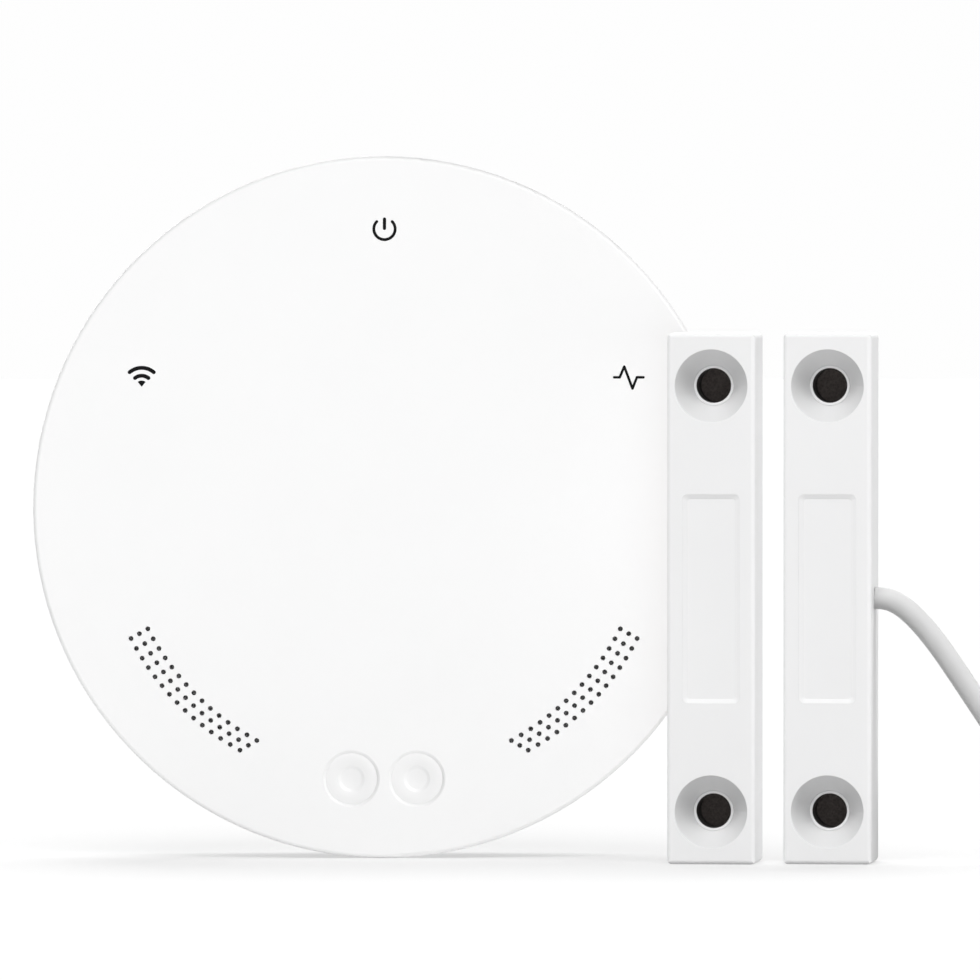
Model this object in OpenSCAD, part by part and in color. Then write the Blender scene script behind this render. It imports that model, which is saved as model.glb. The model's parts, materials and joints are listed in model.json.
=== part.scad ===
// Garage door controller: a round wall hub with the two halves of its wired door contact.
// Each piece is modelled lying on its back, x to the right, y up and z towards the viewer,
// and is then stood up in the shared frame: front towards -y, floor at z = 0.

/* [Hub case] */
// Diameter of the round hub
hub_d = 120; // [116:1:130]
// Depth of the hub from the wall to the top of its crown
hub_t = 28; // [27:0.5:32]
// Height of the crown of the face
crown_h = 1.2; // [0.8:0.1:1.8]
// Thickness of the case walls
wall = 2.2; // [2:0.1:2.5]
// Radius of the soft front edge
edge_r = 0.8; // [0.5:0.1:1.2]
// Height of the line where cover and rear shell meet, from the wall
split_z = 12; // [11:0.5:14]
// Width of the shadow line between cover and rear shell
split_gap = 0.4; // [0.2:0.1:0.6]
// How much smaller the radius of the back is than that of the front
back_step = 5; // [4:0.5:6]

/* [Face] */
// Holes in one row of perforations
perf_count = 15; // [10:1:15]
// Rows of perforations on each side
perf_rows = 3; // [2:1:3]
// Diameter of one perforation
perf_d = 0.85; // [0.7:0.05:1.1]
// Distance of the buttons from the middle of the face
button_drop = 46.4; // [45:0.2:47]
// Distance between the middles of the two buttons
button_pitch = 11.2; // [11.2:0.2:12.4]
// Diameter of a button well
well_d = 9.8; // [9.4:0.1:10]
// Depth of a button below the face
button_sink = 0.5; // [0.3:0.1:0.8]
// Travel of a button
button_travel = 0.5; // [0.3:0.1:0.6]

/* [Wall mounting] */
// Distance between the two keyholes
keyhole_pitch = 60; // [56:1:64]
// Diameter of a keyhole's entry
keyhole_d = 8.5; // [8:0.1:9.5]
// Width of a keyhole's slot
keyhole_slot_w = 4.2; // [3.6:0.1:4.6]

/* [Door contact] */
// Width of each half of the contact
half_w = 15; // [14.6:0.2:18]
// Length of each half
half_l = 90; // [88:1:100]
// Depth of each half with its foam pad
half_t = 14; // [13:0.5:16]
// Distance between the two screw holes of a half
hole_pitch = 72.2; // [70:0.2:74]
// Diameter of a screw hole
hole_d = 5.8; // [4.5:0.1:6]
// Diameter of the countersink at the face
sink_d = 12.4; // [11:0.1:12.6]
// Depth of the countersink, a cone of about 60 degrees
sink_deep = 5.7; // [4:0.1:6]
// Space between the two halves before they are turned
half_gap = 4.7; // [4:0.1:9]
// Turn of each half as it stands, which shows its right side
half_turn = 6.4; // [0:0.4:8]

/* [Cord] */
// Diameter of the cord
cord_d = 3.8; // [3.2:0.1:4]

/* [Hidden] */
$fn = 64;
hub_r = hub_d / 2;
fit_gap = 0.15;
seat_gap = 0.05;
// The set: the magnet half overlaps the hub's rim as seen from the front, and stands clear of its face.
rim_overlap = 10.4;
air_gap = 8;
half_edge = 0.7;
rim_back = 0.4;
half_right = half_w / 2 * cos(half_turn) - rim_back * sin(half_turn);
half_front = (half_w / 2 - half_edge) * sin(half_turn) + (half_t - half_edge) * cos(half_turn) + half_edge;
set_w = hub_d - rim_overlap + half_w * 1.5 + half_gap + half_right;
set_t = hub_t + air_gap + half_front;
hub_x = -set_w / 2 + hub_r;
hub_back_y = set_t / 2;
half_back_y = -set_t / 2 + half_front;
magnet_x = hub_x + hub_r - rim_overlap + half_w / 2;
switch_x = magnet_x + half_w + half_gap;
// The crown is part of a large sphere on the hub's axis.
crown_r = (pow(hub_r - edge_r, 2) + pow(crown_h, 2)) / (2 * crown_h);
rim_z = hub_t - crown_h;
rear_r = hub_r - back_step;
rear_edge = 3;
lip_r = hub_r - wall - fit_gap;
lip_t = 1.5;
lip_h = 3;
// Board, posts and screws.
board_z = 8;
board_t = 1.6;
board_top = board_z + board_t;
board_r = hub_r - 9;
post_ring = hub_r - 16;
post_angles = [58, 122, -12, 192];
post_r = 4.5;
post_top = 11;
boss_r = 4;
screw_r = 1.45;
screw_head_r = 2.8;
screw_sink = 4;
screw_l = 14;
stand_off = [
  on_ring(hub_r - 27, 65), on_ring(hub_r - 27, 115), on_ring(hub_r - 26.4, -30), on_ring(hub_r - 26.4, 210)
];
relay_x = 13;
relay_w = 15;
relay_l = 19;
relay_h = 12.5;
// Signs on the face have a lamp and a light guide behind them.
sign_ring = hub_r - 12.6;
sign_angles = [90, 28.4, 151.6];
guide_r = 1.7;
skin = 0.9;
// Perforations: one arc about the hub's axis, repeated along a slanting step.
perf_ring = hub_r - 14.6;
perf_start = -27.2;
perf_step = -2.44;
perf_shift = 1.66;
perf_slant = -30;
// Buttons, from the face down to the small switches on the board.
cap_gap = 0.08;
cap_r = well_d / 2 - cap_gap;
flange_r = cap_r + 0.6;
collar_z = hub_t - 6;
flange_t = 1.2;
dish_r = 2.25;
dish_deep = 0.35;
dish_ball = (pow(dish_r, 2) + pow(dish_deep, 2)) / (2 * dish_deep);
cap_z = hub_t - crown_r + sqrt(pow(crown_r, 2) - pow(button_drop, 2)) - button_sink;
plunger_r = 1.7;
plunger_top = board_top + 5.6;
tact_h = 3.6;
tact_floor = 1;
plunger_low = board_top + tact_floor + 0.3 + button_travel;
// The wiring pocket on the back.
pocket_x = 22;
pocket_top = -23.5;
pocket_low = -(hub_r - 15);
pocket_z = board_z - wall + 0.6;
pocket_wall = 1.6;
channel_x = 7;
channel_z = 5;
block_ways = 8;
block_pitch = 3.5;
block_x = -5;
block_w = block_ways * block_pitch;
block_deep = 7.4;
block_y = pocket_top - 0.2 - block_deep;
socket_x = 15.5;
// The door contact.
pad_t = 1.2;
cheek = 2.2;
base_t = 1.6;
cavity_l = hole_pitch - 16.2;
cavity_w = half_w - cheek * 2;
base_top = pad_t + base_t;
cavity_top = half_t - cheek;
clamp_w = 3;
clamp_x = cavity_w / 2 - 1.05 - clamp_w;
magnet_ends = 8;
cord_z = half_t / 2;
cord_r = cord_d / 2;
label_w = 9.8;
label_l = 35.5;
label_deep = 0.35;
// The cord: from the switch half's side to the floor, then a coil held by two ties.
tie_t = 0.7;
tie_w = 5;
exit_x = switch_x + half_w / 2;
exit_y = half_back_y - cord_z;
exit_z = half_l / 2;
coil_low = tie_t + 0.1 + cord_r;
drop = exit_z - coil_low;
cord_route = [
  [0, 0], [2, -0.2], [4, -1], [6, -2.5], [8, -4.5], [10, -6.9], [12, -9.6], [15, -14],
  [18, -18.5], [21, -23], [24, -27.4], [27, -31.5], [30, -35], [33.5, -38.3], [37.5, -40.7],
  [42, -drop + 0.3], [48, -drop], [54, -drop]
];
coil_x = exit_x + 58;
coil_out = 33.5;
coil_y = exit_y + coil_out;
lead_in = 4;
coil_turns = 5;
coil_layers = 4;
coil_pitch = cord_d + 0.5;
ring_step = 15;
tail_turn = 180;
lead_r = 0.55;
tip_r = 0.35;
lead_l = 14;
tip_l = 6;

// Piece to show

function on_ring(radius, angle) = [radius * cos(angle), radius * sin(angle)];
function unit(v) = v / norm(v);

module stand_hub() {
  translate([hub_x, hub_back_y, hub_r]) rotate([90, 0, 0]) children();
}

module stand_half(x) {
  translate([x, half_back_y, 0]) rotate([0, 0, -half_turn]) rotate([90, 0, 0]) children();
}

// What lies beside the switch half turns with it.
module turn_with_switch() {
  translate([switch_x, half_back_y, 0]) rotate([0, 0, -half_turn])
    translate([-switch_x, -half_back_y, 0]) children();
}

// A flat rounded rectangle about the origin.
module soft_rect(w, l, r) {
  square([w - 2 * r, l], center = true);
  square([w, l - 2 * r], center = true);
  for (x = [-1, 1]) for (y = [-1, 1])
    translate([x * (w / 2 - r), y * (l / 2 - r)]) circle(r = r);
}

// A profile that stands on y = 0, with its two upper corners rounded.
module soft_top(w, h, r) {
  translate([-w / 2, 0]) square([w, h - r]);
  translate([-w / 2 + r, 0]) square([w - 2 * r, h]);
  for (x = [-1, 1])
    translate([x * (w / 2 - r), h - r]) circle(r = r);
}

module block(x0, x1, y0, y1, z0, z1) {
  translate([x0, y0, z0]) cube([x1 - x0, y1 - y0, z1 - z0]);
}

// Half section of what lies under the crown, lowered by sink, out to radius r and down to z0.
module under_crown(r, z0, sink) {
  intersection() {
    translate([0, z0]) square([r, hub_t - z0]);
    translate([0, hub_t - crown_r]) circle(r = crown_r - sink, $fn = 1440);
  }
}

module crown_disc(r, z0, sink) {
  rotate_extrude($fn = 180) under_crown(r, z0, sink);
}

module cover_section() {
  difference() {
    union() {
      under_crown(hub_r - edge_r, split_z, 0);
      translate([0, split_z]) square([hub_r, rim_z - edge_r - split_z]);
      translate([hub_r - edge_r, rim_z - edge_r]) circle(r = edge_r);
    }
    under_crown(hub_r - wall, split_z - 1, wall);
  }
}

module perforations() {
  for (side = [0, 1]) mirror([side, 0, 0])
    for (row = [0 : perf_rows - 1]) for (i = [0 : perf_count - 1])
      translate(on_ring(perf_ring, perf_start + perf_step * i) + on_ring(perf_shift * row, perf_slant))
        translate([0, 0, rim_z - wall - 2]) cylinder(d = perf_d, h = wall + 4, $fn = 20);
}

module at_buttons() {
  for (side = [-1, 1])
    translate([side * button_pitch / 2, -button_drop, 0]) children();
}

module front_cover() {
  color("white") stand_hub() difference() {
    union() {
      rotate_extrude($fn = 180) cover_section();
      intersection() {
        crown_disc(hub_r - wall, post_top, wall / 2);
        union() {
          for (a = post_angles)
            translate(on_ring(post_ring, a)) translate([0, 0, post_top]) cylinder(r = boss_r, h = hub_t);
          for (a = sign_angles)
            translate(on_ring(sign_ring, a)) translate([0, 0, rim_z - 7]) cylinder(r = 3.2, h = hub_t);
          at_buttons() translate([0, 0, collar_z]) cylinder(r = cap_r + 1.7, h = hub_t);
        }
      }
    }
    perforations();
    at_buttons() cylinder(d = well_d, h = hub_t + 1);
    for (a = post_angles)
      translate(on_ring(post_ring, a)) translate([0, 0, post_top - 1])
        cylinder(r = screw_r + seat_gap, h = 10);
    for (a = sign_angles)
      translate(on_ring(sign_ring, a)) translate([0, 0, rim_z - 8])
        cylinder(r = guide_r + seat_gap, h = 8 - skin);
  }
}

module keyhole(depth) {
  cylinder(d = keyhole_d, h = depth);
  translate([0, 9, 0]) cylinder(d = keyhole_slot_w, h = depth);
  translate([-keyhole_slot_w / 2, 0, 0]) cube([keyhole_slot_w, 9, depth]);
}

module rear_section() {
  side_z = split_z - split_gap;
  side_r = hub_r - 0.3;
  skew = wall * 1.14;
  difference() {
    union() {
      square([rear_r - rear_edge, side_z]);
      translate([rear_r - rear_edge, rear_edge]) circle(r = rear_edge);
      polygon([[0, rear_edge], [rear_r, rear_edge], [side_r, side_z], [0, side_z]]);
    }
    polygon([
      [0, wall], [rear_r - skew, wall], [rear_r - skew, rear_edge + 0.6],
      [side_r - skew, side_z + 0.6], [0, side_z + 0.6]
    ]);
  }
  translate([lip_r - lip_t, side_z - 2.6]) square([lip_t, 2.6 + split_gap + lip_h]);
}

module rear_shell() {
  color("whitesmoke") stand_hub() difference() {
    union() {
      rotate_extrude($fn = 180) rear_section();
      for (a = post_angles)
        translate(on_ring(post_ring, a)) translate([0, 0, wall / 2])
          cylinder(r = post_r, h = post_top - wall / 2);
      for (p = stand_off)
        translate([p[0], p[1], wall / 2]) cylinder(r = 3, h = board_z - wall / 2);
      for (side = [-1, 1])
        translate([side * keyhole_pitch / 2, 8, 0]) block(-6.6, 6.6, -6.6, 13.6, wall / 2, 6.6);
      block(
        -pocket_x - pocket_wall, pocket_x + pocket_wall,
        pocket_low - pocket_wall, pocket_top + pocket_wall, wall / 2, board_z
      );
      block(
        -channel_x - pocket_wall, channel_x + pocket_wall,
        -rear_r + 1, pocket_low, wall / 2, channel_z + 1.6
      );
    }
    block(-pocket_x, pocket_x, pocket_low, pocket_top, -1, pocket_z);
    block(-pocket_x + 1.5, pocket_x - 1.5, block_y - 0.2, pocket_top, pocket_z - 1, board_z + 1);
    block(-channel_x, channel_x, -hub_r - 1, pocket_low + 1, -1, channel_z);
    for (a = post_angles) translate(on_ring(post_ring, a)) {
      translate([0, 0, -1]) cylinder(r = screw_head_r + 0.3, h = screw_sink + 1);
      translate([0, 0, screw_sink - 1]) cylinder(r = screw_r + 0.25, h = post_top);
    }
    for (p = stand_off)
      translate([p[0], p[1], board_z - 4.5]) cylinder(r = 1.25, h = 5);
    for (side = [-1, 1]) translate([side * keyhole_pitch / 2, 8, 0]) {
      translate([0, 0, -1]) keyhole(wall + 1.5);
      block(-5.2, 5.2, -5.2, 12.2, wall, 5.4);
    }
  }
}

module case_screws() {
  color("silver") stand_hub() for (a = post_angles) translate(on_ring(post_ring, a)) {
    translate([0, 0, screw_sink - 2.2]) cylinder(r = screw_head_r, h = 2.2);
    translate([0, 0, screw_sink - 0.1]) cylinder(r = screw_r, h = screw_l);
  }
}

module main_board() {
  color("seagreen") stand_hub() translate([0, 0, board_z]) difference() {
    cylinder(r = board_r, h = board_t, $fn = 120);
    for (a = post_angles)
      translate(on_ring(post_ring, a)) translate([0, 0, -1]) cylinder(r = post_r + 0.5, h = board_t + 2);
    for (p = stand_off)
      translate([p[0], p[1], -1]) cylinder(r = 1.4, h = board_t + 2);
  }
}

module board_screws() {
  color("silver") stand_hub() for (p = stand_off) translate([p[0], p[1], 0]) {
    translate([0, 0, board_top]) cylinder(r = 2.25, h = 1.7);
    translate([0, 0, board_z - 4]) cylinder(r = 1.2, h = board_t + 4.1);
  }
}

module door_relays() {
  color("black") stand_hub()
    for (side = [-1, 1]) translate([side * relay_x, 3.5 - relay_l / 2, board_top])
      linear_extrude(relay_h) soft_rect(relay_w, relay_l, 0.8);
}

module terminal_block() {
  color("green") stand_hub() difference() {
    block(block_x - block_w / 2, block_x + block_w / 2, block_y, block_y + block_deep, 0.9, board_z);
    for (i = [0 : block_ways - 1]) translate([block_x + (i + 0.5 - block_ways / 2) * block_pitch, 0, 0]) {
      block(-1.3, 1.3, block_y - 1, block_y + 5.2, 3.4, 6.4);
      translate([0, block_y + 3.4, 0]) cylinder(r = 1.35, h = 4);
    }
  }
}

module terminal_clamps() {
  color("silver") stand_hub() for (i = [0 : block_ways - 1])
    translate([block_x + (i + 0.5 - block_ways / 2) * block_pitch, block_y, 0]) difference() {
      block(-1.2, 1.2, 1.4, 5.1, 3.5, 6.3);
      block(-0.9, 0.9, 1, 5.5, 4.1, 5.9);
    }
}

module terminal_screws() {
  color("gainsboro") stand_hub() for (i = [0 : block_ways - 1])
    translate([block_x + (i + 0.5 - block_ways / 2) * block_pitch, block_y + 3.4, 1.3]) difference() {
      cylinder(r = 1.25, h = 2.2);
      block(-2, 2, -0.2, 0.2, -1, 0.7);
    }
}

module power_socket() {
  color("silver") stand_hub() translate([socket_x, 0, 0]) difference() {
    block(-3.8, 3.8, block_y + 1.6, block_y + 7.2, board_z - 2.9, board_z);
    block(-3.4, 3.4, block_y, block_y + 6.4, board_z - 2.5, board_z - 0.4);
  }
}

module power_tongue() {
  color("black") stand_hub() translate([socket_x, 0, 0])
    block(-1.9, 1.9, block_y + 2.4, block_y + 6.4, board_z - 1.5, board_z - 0.8);
}

module radio_board() {
  color("darkgreen") stand_hub() block(-9, 9, 14.2, 39.8, board_top, board_top + 1);
}

module radio_can() {
  color("silver") stand_hub() translate([0, 23.5, board_top + 1]) linear_extrude(2.4) soft_rect(16, 17, 0.6);
}

module sounder() {
  color("black") stand_hub() translate(on_ring(hub_r - 18.6, 222)) translate([0, 0, board_top]) difference() {
    cylinder(r = 7, h = 8);
    translate([0, 0, 5]) cylinder(r = 1.2, h = 4);
  }
}

module sound_mesh() {
  color("dimgray") stand_hub() for (side = [0, 1]) mirror([side, 0, 0])
    rotate([0, 0, -66]) rotate_extrude(angle = 42, $fn = 180) difference() {
      translate([perf_ring - 2.6, 0]) square([8.6, hub_t]);
      translate([0, hub_t - crown_r]) circle(r = crown_r - wall - 0.4, $fn = 1440);
      translate([0, hub_t]) square([hub_r, 1]);
      difference() {
        square([hub_r, hub_t]);
        translate([0, hub_t - crown_r]) circle(r = crown_r - wall - seat_gap, $fn = 1440);
      }
    }
}

module status_lamps() {
  color("ivory") stand_hub() for (a = sign_angles) translate(on_ring(sign_ring, a))
    translate([0, 0, board_top]) block(-1.6, 1.6, -0.8, 0.8, 0, 1.1);
}

module light_guides() {
  color("lightcyan") stand_hub() for (a = sign_angles) translate(on_ring(sign_ring, a))
    translate([0, 0, board_top + 1.1]) cylinder(r = guide_r, h = rim_z - skin - board_top - 1.1 - seat_gap);
}

module smoothing_capacitors() {
  color("darkslategray") stand_hub() for (a = [-32, -47]) translate(on_ring(hub_r - 17, a))
    translate([0, 0, board_top]) {
      cylinder(r = 4, h = 10.5);
      cylinder(r = 4.3, h = 1.2);
    }
}

module processor_chip() {
  color("black") stand_hub() block(-6, 6, -30, -18, board_top, board_top + 1.2);
}

module tact_switches() {
  color("black") stand_hub() at_buttons() translate([0, 0, board_top]) difference() {
    linear_extrude(tact_h) square([5.4, 6], center = true);
    translate([0, 0, tact_floor]) cylinder(r = plunger_r + fit_gap, h = tact_h);
  }
}

// A button: cap with a top that follows the face's slope there, flange behind the collar, stem.
module button(side) {
  stand_hub() translate([side * button_pitch / 2, -button_drop, 0]) difference() {
    union() {
      translate([0, 0, collar_z - 1]) cylinder(r = cap_r, h = hub_t - collar_z + 1);
      translate([0, 0, collar_z - seat_gap - flange_t]) intersection() {
        cylinder(r = flange_r, h = flange_t);
        block(-5.35, 5.35, -6, 6, 0, flange_t);
      }
      translate([0, 0, plunger_top]) cylinder(r = 1.6, h = collar_z - plunger_top - 0.5);
    }
    translate([0, 0, cap_z]) rotate([asin(button_drop / crown_r), 0, 0]) {
      block(-8, 8, -8, 8, 0, 8);
      translate([0, 0, dish_ball - dish_deep]) sphere(r = dish_ball, $fn = 96);
    }
  }
}

module plunger(side) {
  stand_hub() translate([side * button_pitch / 2, -button_drop, plunger_low])
    cylinder(r = plunger_r, h = plunger_top - plunger_low);
}

module left_button() {
  color("white") button(-1);
}

module left_plunger() {
  color("dimgray") plunger(-1);
}

module right_button() {
  color("white") button(1);
}

module right_plunger() {
  color("dimgray") plunger(1);
}

module half_case() {
  difference() {
    intersection() {
      translate([0, half_l / 2, rim_back]) linear_extrude(half_t) soft_rect(half_w, half_l, 0.9);
      translate([0, half_l, 0]) rotate([90, 0, 0]) linear_extrude(half_l) soft_top(half_w, half_t, half_edge);
      rotate([90, 0, 90]) translate([half_l / 2, 0])
        linear_extrude(half_w, center = true) soft_top(half_l, half_t, half_edge);
    }
    translate([0, half_l / 2, 0]) {
      linear_extrude(pad_t) square([half_w - 2.4, half_l - 2.4], center = true);
      linear_extrude(base_top) square([cavity_w + 0.8, cavity_l + 2], center = true);
      linear_extrude(cavity_top) square([cavity_w, cavity_l], center = true);
      translate([0, 0, half_t - label_deep]) linear_extrude(1) soft_rect(label_w, label_l, 1);
      for (side = [-1, 1]) translate([0, side * hole_pitch / 2, 0]) {
        cylinder(d = hole_d, h = half_t);
        translate([0, 0, half_t - sink_deep]) cylinder(d1 = hole_d + 0.2, d2 = sink_d, h = sink_deep);
        translate([0, 0, half_t]) cylinder(d = sink_d, h = 1);
      }
    }
  }
}

module half_base() {
  translate([0, half_l / 2, pad_t]) linear_extrude(base_t)
    square([cavity_w + 0.7, cavity_l + 1.9], center = true);
}

module half_pad() {
  translate([0, half_l / 2, 0]) linear_extrude(pad_t) square([half_w - 2.6, half_l - 2.6], center = true);
}

module switch_case() {
  color("white") stand_half(switch_x) difference() {
    half_case();
    translate([0, exit_z, cord_z]) rotate([0, 90, 0]) cylinder(r = cord_r + 0.1, h = half_w);
  }
}

module switch_base() {
  color("whitesmoke") stand_half(switch_x) half_base();
}

module switch_pad() {
  color("black") stand_half(switch_x) half_pad();
}

module reed_board() {
  color("seagreen") stand_half(switch_x)
    translate([0, exit_z, base_top]) linear_extrude(1) square([cavity_w - 2, cavity_l - 12], center = true);
}

module reed_glass() {
  color("lightcyan") stand_half(switch_x) translate([-3.2, exit_z, base_top + 2.6]) rotate([90, 0, 0]) {
    cylinder(r = 1.1, h = 12, center = true);
    for (side = [0, 1]) mirror([0, 0, side]) translate([0, 0, 6]) cylinder(r1 = 1.1, r2 = 0.6, h = 1);
  }
}

module reed_leads() {
  color("silver") stand_half(switch_x) translate([-3.2, exit_z, base_top + 2.6])
    for (side = [0, 1]) mirror([0, side, 0]) {
      translate([0, 7, 0]) rotate([-90, 0, 0]) cylinder(r = 0.3, h = 4, $fn = 24);
      translate([0, 11, 0]) sphere(r = 0.3, $fn = 24);
      translate([0, 11, -1.6]) cylinder(r = 0.3, h = 1.6, $fn = 24);
    }
}

module cable_clamp() {
  color("black") stand_half(switch_x) difference() {
    block(clamp_x, clamp_x + clamp_w, exit_z - 3.5, exit_z + 3.5, base_top + 1, cord_z + 2.8);
    translate([0, exit_z, cord_z]) rotate([0, 90, 0]) cylinder(r = cord_r + seat_gap, h = half_w);
  }
}

module cable_tail() {
  color("white") stand_half(switch_x) translate([0, exit_z, cord_z]) {
    translate([1.5, 0, 0]) rotate([0, 90, 0]) cylinder(r = cord_r, h = half_w / 2 - 1.5);
    for (side = [-1, 1]) translate([0.4, side * 0.9, 0]) {
      rotate([0, 90, 0]) cylinder(r = 0.5, h = 1.2, $fn = 24);
      sphere(r = 0.5, $fn = 24);
      translate([0, 0, base_top + 1 - cord_z]) cylinder(r = 0.5, h = cord_z - base_top - 1, $fn = 24);
    }
  }
}

// A tube through rings of points: centres, and the two directions that span each ring.
module tube(centres, across, up, r, sides) {
  last = len(centres) - 1;
  points = [
    for (i = [0 : last]) for (k = [0 : sides - 1])
      centres[i] + r * (cos(k * 360 / sides) * across[i] + sin(k * 360 / sides) * up[i])
  ];
  skin_faces = [
    for (i = [0 : last - 1]) for (k = [0 : sides - 1])
      let (a = i * sides + k, b = i * sides + (k + 1) % sides)
        each [[a, a + sides, b + sides], [a, b + sides, b]]
  ];
  first_cap = [for (k = [0 : sides - 1]) k];
  last_cap = [for (k = [sides - 1 : -1 : 0]) last * sides + k];
  polyhedron(points, concat([first_cap], skin_faces, [last_cap]), convexity = 10);
}

module switch_cord() {
  last = len(cord_route) - 1;
  centres = [for (p = cord_route) [exit_x + p[0], exit_y, exit_z + p[1]]];
  along = [
    for (i = [0 : last])
      i == 0 || i == last ? [1, 0, 0] : unit(centres[i + 1] - centres[i - 1])
  ];
  color("white") turn_with_switch()
    tube(centres, [for (t = along) [0, 1, 0]], [for (t = along) [-t[2], 0, t[0]]], cord_r, 8);
}

// The coil: the spiral runs in and out at a steady rate and climbs a layer where it turns back.
layer_turn = coil_turns * 360;
coil_end = layer_turn * coil_layers;

function ease(s) = s <= 0 ? 0 : s >= 1 ? 1 : s * s * (3 - 2 * s);
function turned(a) = abs((a + layer_turn) % (2 * layer_turn) - layer_turn);
function coil_radius(a) = a <= coil_end
  ? coil_out - coil_pitch * turned(a) / 360
  : coil_out + coil_pitch * ease((a - coil_end) / 60);
function climbed(a) = a <= coil_end
  ? len([for (k = [1 : coil_layers - 1]) if (a >= k * layer_turn + 90) k])
    + max([for (k = [1 : coil_layers - 1])
      abs(a - k * layer_turn) < 90 ? ease((a - k * layer_turn + 90) / 180) : 0])
  : (coil_layers - 1) * (1 - ease((a - coil_end - 60) / (tail_turn - 70)));
function coil_radial(a) = [cos(a - 90), sin(a - 90), 0];
function coil_point(a) =
  [coil_x, coil_y, coil_low + coil_pitch * climbed(a)] + coil_radius(a) * coil_radial(a);
coil_angles = [for (a = [0 : ring_step : coil_end + tail_turn]) a];
coil_line = [for (a = coil_angles) coil_point(a)];
coil_finish = coil_line[len(coil_line) - 1] - [lead_in, 0, 0];

module cord_coil() {
  count = len(coil_line);
  turn = 360 / ring_step;
  nearest = min([
    for (i = [0 : count - 1]) for (k = [1 : coil_turns * 2 * coil_layers])
      let (j = i + round(k * turn))
        if (j < count) norm(coil_line[i] - coil_line[j])
  ]);
  echo(least_gap_of_coil = nearest - cord_d);
  centres = concat([coil_line[0] - [lead_in, 0, 0]], coil_line, [coil_finish]);
  out = concat([0], coil_angles, [coil_angles[count - 1]]);
  color("white") turn_with_switch()
    tube(centres, [for (a = out) [0, 0, 1]], [for (a = out) coil_radial(a)], cord_r, 6);
}

module cord_ties() {
  inner = coil_out - coil_turns * coil_pitch + coil_pitch / 4 - cord_r - 0.6;
  outer = coil_out - coil_pitch / 4 + cord_r + 0.3;
  top = coil_low + (coil_layers - 1) * coil_pitch + cord_r + 0.1;
  color("dimgray") turn_with_switch() translate([coil_x, coil_y, 0])
    for (side = [0, 1]) mirror([side, 0, 0]) difference() {
      block(inner - tie_t, outer + tie_t, -tie_w / 2, tie_w / 2, 0, top + tie_t);
      block(inner, outer, -tie_w, tie_w, tie_t, top);
    }
}

module cord_leads() {
  color("red") turn_with_switch() translate(coil_finish) for (side = [-1, 1])
    translate([0, side * 0.8, 0]) rotate([0, -90, 0]) cylinder(r = lead_r, h = lead_l, $fn = 24);
}

module cord_tips() {
  color("silver") turn_with_switch() translate(coil_finish - [lead_l, 0, 0]) for (side = [-1, 1])
    translate([0, side * 0.8, 0]) rotate([0, -90, 0]) cylinder(r = tip_r, h = tip_l, $fn = 24);
}

module magnet_case() {
  color("white") stand_half(magnet_x) half_case();
}

module magnet_base() {
  color("whitesmoke") stand_half(magnet_x) half_base();
}

module magnet_pad() {
  color("black") stand_half(magnet_x) half_pad();
}

module bar_magnet() {
  color("silver") stand_half(magnet_x) translate([0, half_l / 2, base_top])
    linear_extrude(cavity_top - base_top) square([cavity_w - 2, cavity_l - magnet_ends], center = true);
}

front_cover();
rear_shell();
case_screws();
main_board();
board_screws();
door_relays();
terminal_block();
terminal_clamps();
terminal_screws();
power_socket();
power_tongue();
radio_board();
radio_can();
sounder();
sound_mesh();
status_lamps();
light_guides();
smoothing_capacitors();
processor_chip();
tact_switches();
left_button();
left_plunger();
right_button();
right_plunger();
switch_case();
switch_base();
switch_pad();
reed_board();
reed_glass();
reed_leads();
cable_clamp();
cable_tail();
switch_cord();
cord_coil();
cord_ties();
cord_leads();
cord_tips();
magnet_case();
magnet_base();
magnet_pad();
bar_magnet();
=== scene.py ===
import json
import math

import bmesh
import bpy
from mathutils import Matrix, Vector

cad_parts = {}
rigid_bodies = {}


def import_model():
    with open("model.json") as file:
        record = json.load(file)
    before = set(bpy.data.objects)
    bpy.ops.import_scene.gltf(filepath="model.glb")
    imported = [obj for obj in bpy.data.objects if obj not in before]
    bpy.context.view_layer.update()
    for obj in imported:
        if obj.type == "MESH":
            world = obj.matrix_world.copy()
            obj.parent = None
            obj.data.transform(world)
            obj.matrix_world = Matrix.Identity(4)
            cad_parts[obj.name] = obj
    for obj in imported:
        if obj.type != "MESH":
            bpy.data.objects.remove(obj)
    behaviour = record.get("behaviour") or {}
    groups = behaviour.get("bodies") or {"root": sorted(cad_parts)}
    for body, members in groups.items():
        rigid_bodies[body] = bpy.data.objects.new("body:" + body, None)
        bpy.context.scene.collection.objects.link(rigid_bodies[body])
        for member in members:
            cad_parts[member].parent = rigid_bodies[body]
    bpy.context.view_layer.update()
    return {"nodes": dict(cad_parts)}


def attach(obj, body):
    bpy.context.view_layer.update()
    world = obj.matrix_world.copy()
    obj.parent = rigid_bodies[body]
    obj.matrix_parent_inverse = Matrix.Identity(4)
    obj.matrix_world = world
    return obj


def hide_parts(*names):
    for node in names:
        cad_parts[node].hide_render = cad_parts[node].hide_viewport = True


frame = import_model()
nodes = frame["nodes"]
scene = bpy.context.scene
scene.view_settings.view_transform = "Standard"
mm = 0.001
print("frame loaded:", len(nodes), "nodes")

# where the hub stands, as in the part's source
hub = {"middle": (-12.1043, 60.0), "faceY": -2.6624, "backY": 25.3376, "crownRadius": 1460.87}
# the halves of the contact stand turned: their middles at the back, the turn, the face and the screw holes
halves = {
    "switch": (64.6957, -10.6624), "magnet": (44.9957, -10.6624), "turn": 6.4,
    "face": 14.0, "middle": 45.0, "pitch": 72.2,
}
mergeGap = 0.000002


# helpers

def deselectAll():
    if bpy.context.object and bpy.context.object.mode != "OBJECT":
        bpy.ops.object.mode_set(mode="OBJECT")
    bpy.ops.object.select_all(action="DESELECT")


def pickOnly(piece):
    deselectAll()
    piece.select_set(True)
    bpy.context.view_layer.objects.active = piece


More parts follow.
